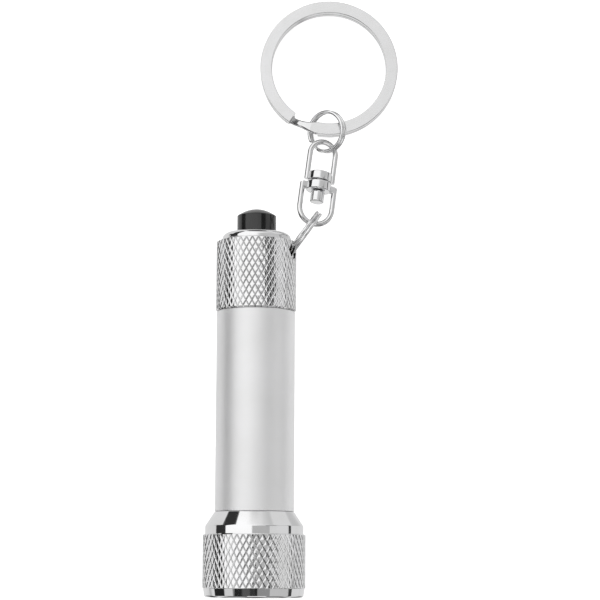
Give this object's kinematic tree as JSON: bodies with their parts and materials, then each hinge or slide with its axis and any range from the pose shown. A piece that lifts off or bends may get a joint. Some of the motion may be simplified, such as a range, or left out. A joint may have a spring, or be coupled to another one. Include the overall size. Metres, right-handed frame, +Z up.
{
  "type": "keychain flashlight",
  "caption": "Small cylindrical key-chain torch with knurled head and tail cap, push-button switch, and a swivel link chain to a flat split key ring.",
  "frame": {"origin": "under the middle of the whole object, on the surface it lies on", "axes": "+Y along the torch from the lens towards the push button and the key ring, +Z up from the surface, +X to the right seen from above"},
  "size_m": [0.0348, 0.1098, 0.0186],
  "materials": {
    "polished_chrome": "polished chrome plate on turned aluminium",
    "satin_aluminium": "satin, fine turned grain",
    "link_chrome": "bright chrome plate on steel wire",
    "key_ring_nickel": "nickel plated, soft satin",
    "button_plastic": "gloss black",
    "clear_lens": "clear polished",
    "reflector_mirror": "vacuum metallised",
    "led_epoxy": "clear water-white epoxy",
    "circuit_board": "solder-masked board",
    "black_component": "moulded black",
    "spring_steel": "nickel plated spring wire",
    "black_rubber": "matt",
    "sleeve_plastic": "translucent white",
    "cell_steel": "nickel plated cell can",
    "contact_brass": "bright turned brass",
    "switch_plastic": "moulded black",
    "plunger_plastic": "moulded natural"
  },
  "bodies": {
    "torch": {"tube": "satin_aluminium", "head_o_ring": "black_rubber", "tail_o_ring": "black_rubber", "battery_sleeve": "sleeve_plastic", "cell_1": "cell_steel", "cell_2": "cell_steel", "cell_3": "cell_steel", "cell_4": "cell_steel", "rear_contact_spring": "spring_steel", "switch_contact_plate": "contact_brass", "switch_body": "switch_plastic", "switch_retaining_ring": "contact_brass", "button_spring": "spring_steel", "tail_cap": "polished_chrome"},
    "front_spring": {"front_contact_spring": "spring_steel"},
    "head": {"head_shell": "polished_chrome", "lens": "clear_lens", "lens_seal": "black_rubber", "reflector": "reflector_mirror", "led_1": "led_epoxy", "led_2": "led_epoxy", "led_3": "led_epoxy", "led_4": "led_epoxy", "led_5": "led_epoxy", "led_board": "circuit_board", "resistor": "black_component"},
    "button": {"push_button": "button_plastic", "switch_plunger": "plunger_plastic"},
    "lower_ring": {"lower_split_ring": "link_chrome"},
    "swivel_lower": {"swivel_lower_loop": "link_chrome"},
    "swivel_upper": {"swivel_upper_loop": "link_chrome", "swivel_pin": "link_chrome"},
    "small_ring": {"upper_split_ring": "link_chrome"},
    "key_ring": {"key_ring": "key_ring_nickel"}
  },
  "joints": [
    {"name": "head_travel", "type": "slide", "parent": "torch", "child": "front_spring", "axis": [0, -0.9993, 0.0361], "range_m": [0, 0.00225]},
    {"name": "head_unscrew", "type": "hinge", "parent": "front_spring", "child": "head", "pos_m": [-0.00827, -0.0476, 0.00929], "axis": [0, -0.9993, 0.0361], "range_deg": [0, 1080]},
    {"name": "button_press", "type": "slide", "parent": "torch", "child": "button", "axis": [0, -0.9993, 0.0361], "range_m": [0, 0.0012], "stiffness_N_per_m": 800, "springref_m": -0.0003, "deforming": ["button_spring"]},
    {"name": "lower_ring_swing", "type": "hinge", "parent": "torch", "child": "lower_ring", "pos_m": [-0.00207, 0.00717, 0.00731], "axis": [0, 0.0361, 0.9993], "range_deg": [-30, 1]},
    {"name": "swivel_lift", "type": "hinge", "parent": "lower_ring", "child": "swivel_lower", "pos_m": [0.00206, 0.01279, 0.00533], "axis": [0.9528, -0.1648, -0.255], "range_deg": [-2, 55]},
    {"name": "swivel_spin", "type": "hinge", "parent": "swivel_lower", "child": "swivel_upper", "pos_m": [0.00306, 0.02071, 0.00395], "axis": [0.1235, 0.9776, -0.1702], "continuous": true},
    {"name": "small_ring_swing", "type": "hinge", "parent": "swivel_upper", "child": "small_ring", "pos_m": [0.00403, 0.02838, 0.00261], "axis": [0.9528, -0.1648, -0.255], "range_deg": [-40, 3]},
    {"name": "key_ring_roll", "type": "hinge", "parent": "small_ring", "child": "key_ring", "pos_m": [0.00448, 0.03096, 0.0028], "axis": [0, 1, 0], "range_deg": [-5, 90]}
  ],
  "couplings": [
    {"joint": "head_unscrew", "follows": "head_travel", "rad_per_m": 8377.5}
  ]
}
